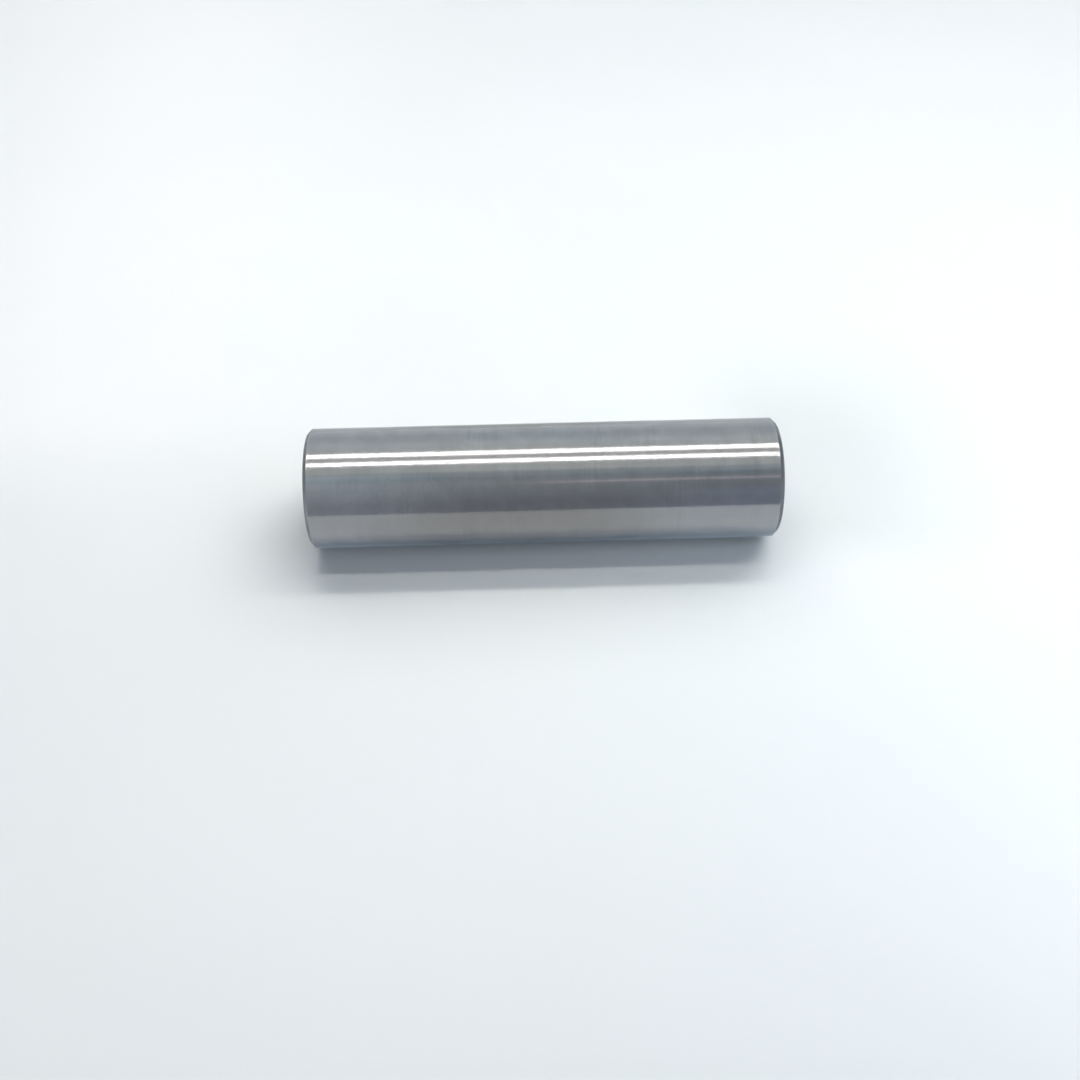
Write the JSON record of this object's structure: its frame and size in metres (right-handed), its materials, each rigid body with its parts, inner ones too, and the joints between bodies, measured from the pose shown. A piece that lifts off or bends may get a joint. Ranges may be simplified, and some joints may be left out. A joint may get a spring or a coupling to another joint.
{
  "type": "rocker arm shaft",
  "caption": "Solid cylindrical steel rocker arm shaft with a bright ground journal and a small chamfer at each end.",
  "frame": {"origin": "centre of the foot face, the end that the shaft stands on", "axes": "+Z along the shaft's axis, from the foot face to the head face"},
  "size_m": [0.018, 0.018, 0.07],
  "materials": {
    "ground_steel": "ground bright, with fine rings round the axis"
  },
  "bodies": {
    "root": {"rocker_arm_shaft": "ground_steel"}
  },
  "joints": []
}
